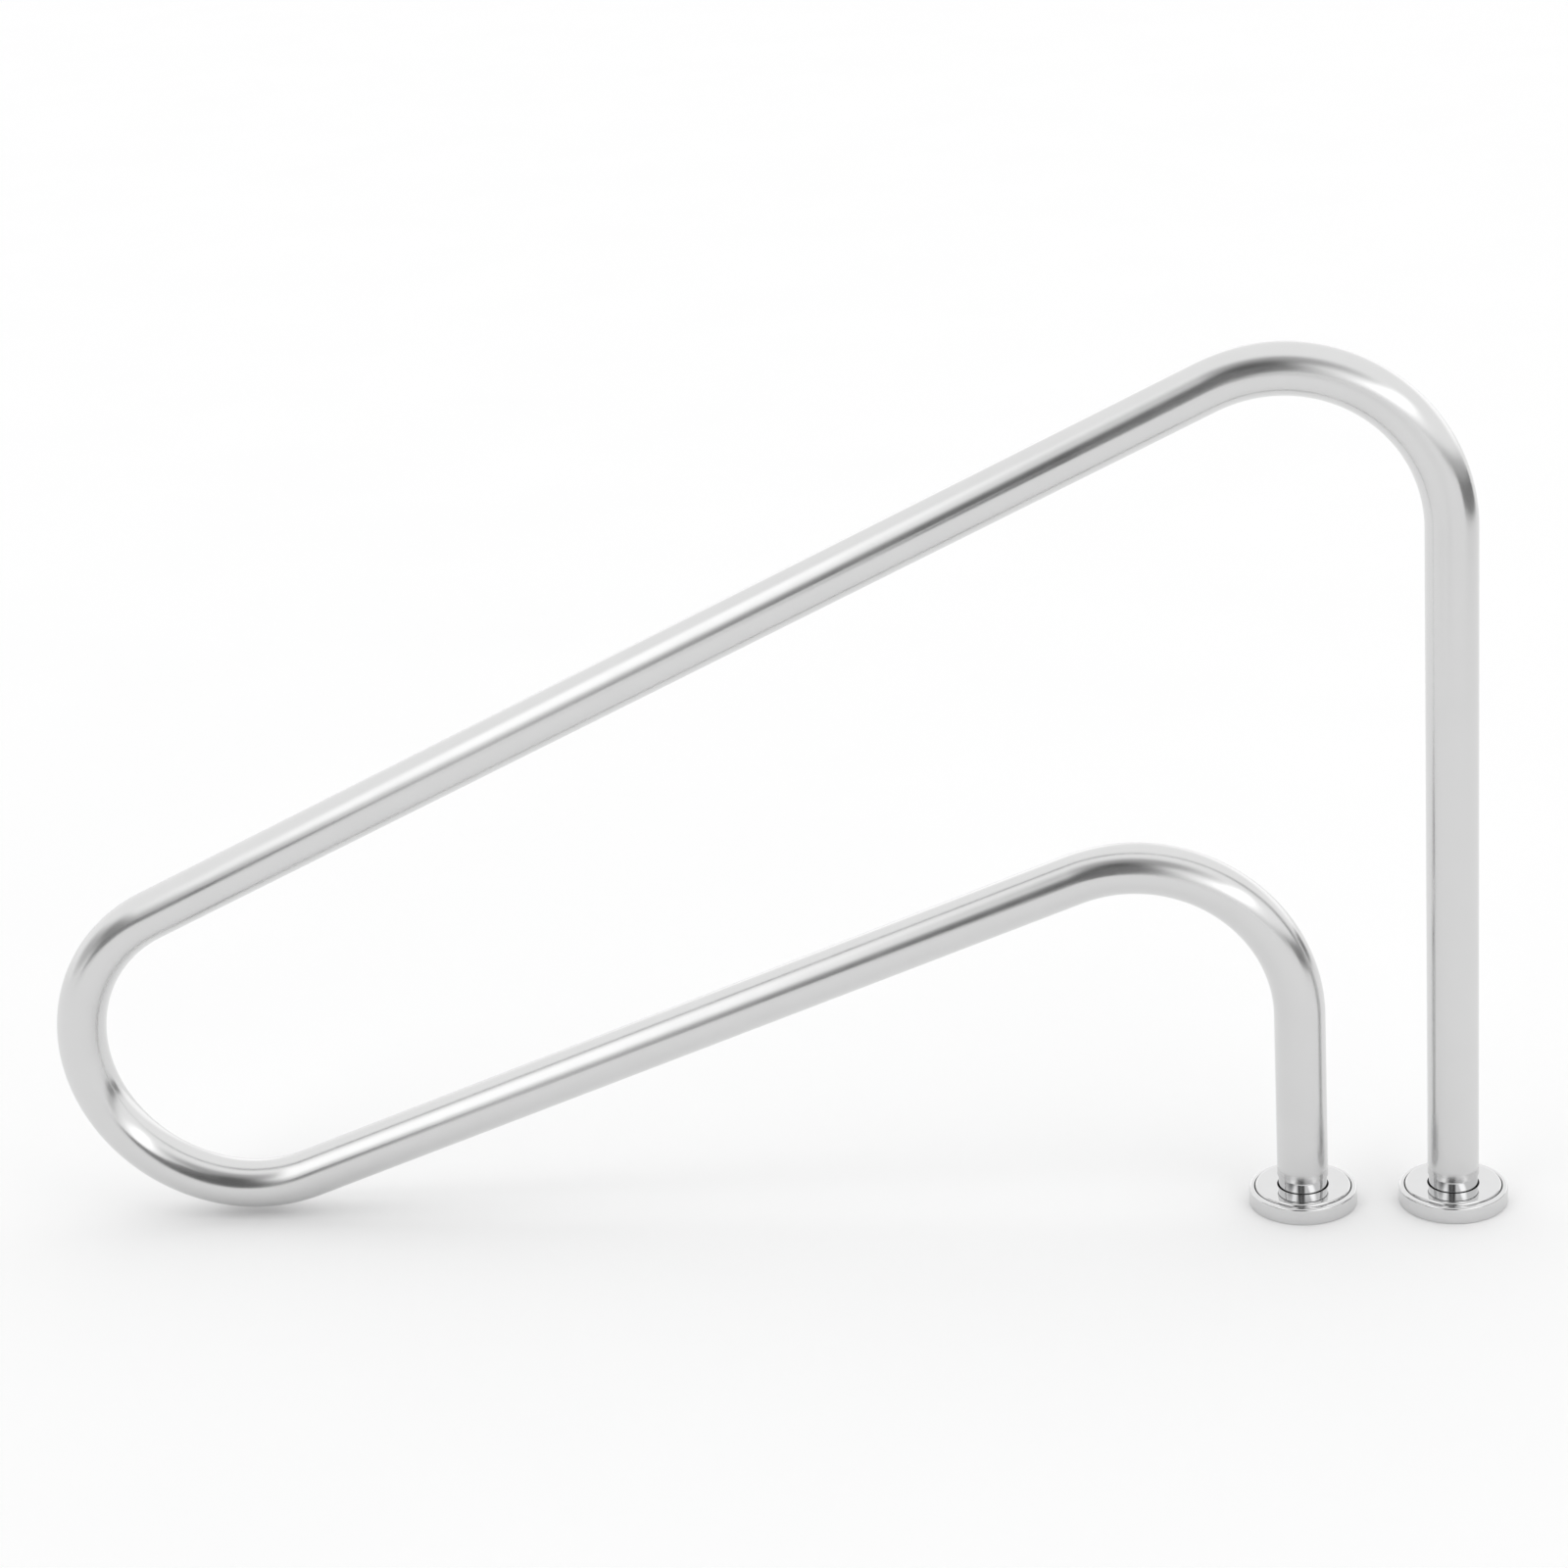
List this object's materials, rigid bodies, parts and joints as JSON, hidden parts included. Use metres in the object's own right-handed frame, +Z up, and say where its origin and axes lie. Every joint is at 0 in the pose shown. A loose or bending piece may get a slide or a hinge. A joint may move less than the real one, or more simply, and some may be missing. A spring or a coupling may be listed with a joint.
{
  "type": "pool handrail",
  "caption": "Deck-mounted pool handrail: one bent steel tube with a long sloping grab loop on two round feet, each with a cover that lifts up its leg.",
  "frame": {"origin": "deck level, on the axis of the tall leg, at the centre of that foot's gasket", "axes": "+Z up along the legs; +X from the pool towards the land side, so the rail reaches over the water to -X; the rail lies in the XZ plane"},
  "size_m": [1.41, 0.103, 0.8923],
  "materials": {
    "satin_tube": "satin-polished stainless steel, fine grain along the tube",
    "polished_cover": "mirror-polished stainless steel",
    "polished_collar": "mirror-polished stainless steel, turned",
    "plain_plate": "mill-finish stainless steel plate",
    "zinc_fastener": "plated steel fastener",
    "black_rubber": "matt black rubber"
  },
  "bodies": {
    "rail": {"rail_tube": "satin_tube", "tall_leg_spigot": "polished_collar", "tall_leg_seal_ring": "black_rubber", "tall_leg_base_plate": "plain_plate", "tall_leg_base_gasket": "black_rubber", "tall_leg_lock_screw_1": "zinc_fastener", "tall_leg_lock_screw_2": "zinc_fastener", "tall_leg_anchor_bolt_1": "zinc_fastener", "tall_leg_anchor_bolt_2": "zinc_fastener", "tall_leg_anchor_bolt_3": "zinc_fastener", "tall_leg_anchor_bolt_4": "zinc_fastener", "tall_leg_anchor_washer_1": "zinc_fastener", "tall_leg_anchor_washer_2": "zinc_fastener", "tall_leg_anchor_washer_3": "zinc_fastener", "tall_leg_anchor_washer_4": "zinc_fastener", "tall_leg_anchor_sleeve_1": "zinc_fastener", "tall_leg_anchor_sleeve_2": "zinc_fastener", "tall_leg_anchor_sleeve_3": "zinc_fastener", "tall_leg_anchor_sleeve_4": "zinc_fastener", "tall_leg_anchor_cone_nut_1": "zinc_fastener", "tall_leg_anchor_cone_nut_2": "zinc_fastener", "tall_leg_anchor_cone_nut_3": "zinc_fastener", "tall_leg_anchor_cone_nut_4": "zinc_fastener", "short_leg_spigot": "polished_collar", "short_leg_seal_ring": "black_rubber", "short_leg_base_plate": "plain_plate", "short_leg_base_gasket": "black_rubber", "short_leg_lock_screw_1": "zinc_fastener", "short_leg_lock_screw_2": "zinc_fastener", "short_leg_anchor_bolt_1": "zinc_fastener", "short_leg_anchor_bolt_2": "zinc_fastener", "short_leg_anchor_bolt_3": "zinc_fastener", "short_leg_anchor_bolt_4": "zinc_fastener", "short_leg_anchor_washer_1": "zinc_fastener", "short_leg_anchor_washer_2": "zinc_fastener", "short_leg_anchor_washer_3": "zinc_fastener", "short_leg_anchor_washer_4": "zinc_fastener", "short_leg_anchor_sleeve_1": "zinc_fastener", "short_leg_anchor_sleeve_2": "zinc_fastener", "short_leg_anchor_sleeve_3": "zinc_fastener", "short_leg_anchor_sleeve_4": "zinc_fastener", "short_leg_anchor_cone_nut_1": "zinc_fastener", "short_leg_anchor_cone_nut_2": "zinc_fastener", "short_leg_anchor_cone_nut_3": "zinc_fastener", "short_leg_anchor_cone_nut_4": "zinc_fastener"},
    "tall_leg_cover": {"tall_leg_cover": "polished_cover"},
    "short_leg_cover": {"short_leg_cover": "polished_cover"}
  },
  "joints": [
    {"name": "tall_leg_cover_lift", "type": "slide", "parent": "rail", "child": "tall_leg_cover", "axis": [0, 0, 1], "range_m": [0, 0.6]},
    {"name": "short_leg_cover_lift", "type": "slide", "parent": "rail", "child": "short_leg_cover", "axis": [0, 0, 1], "range_m": [0, 0.15]}
  ]
}
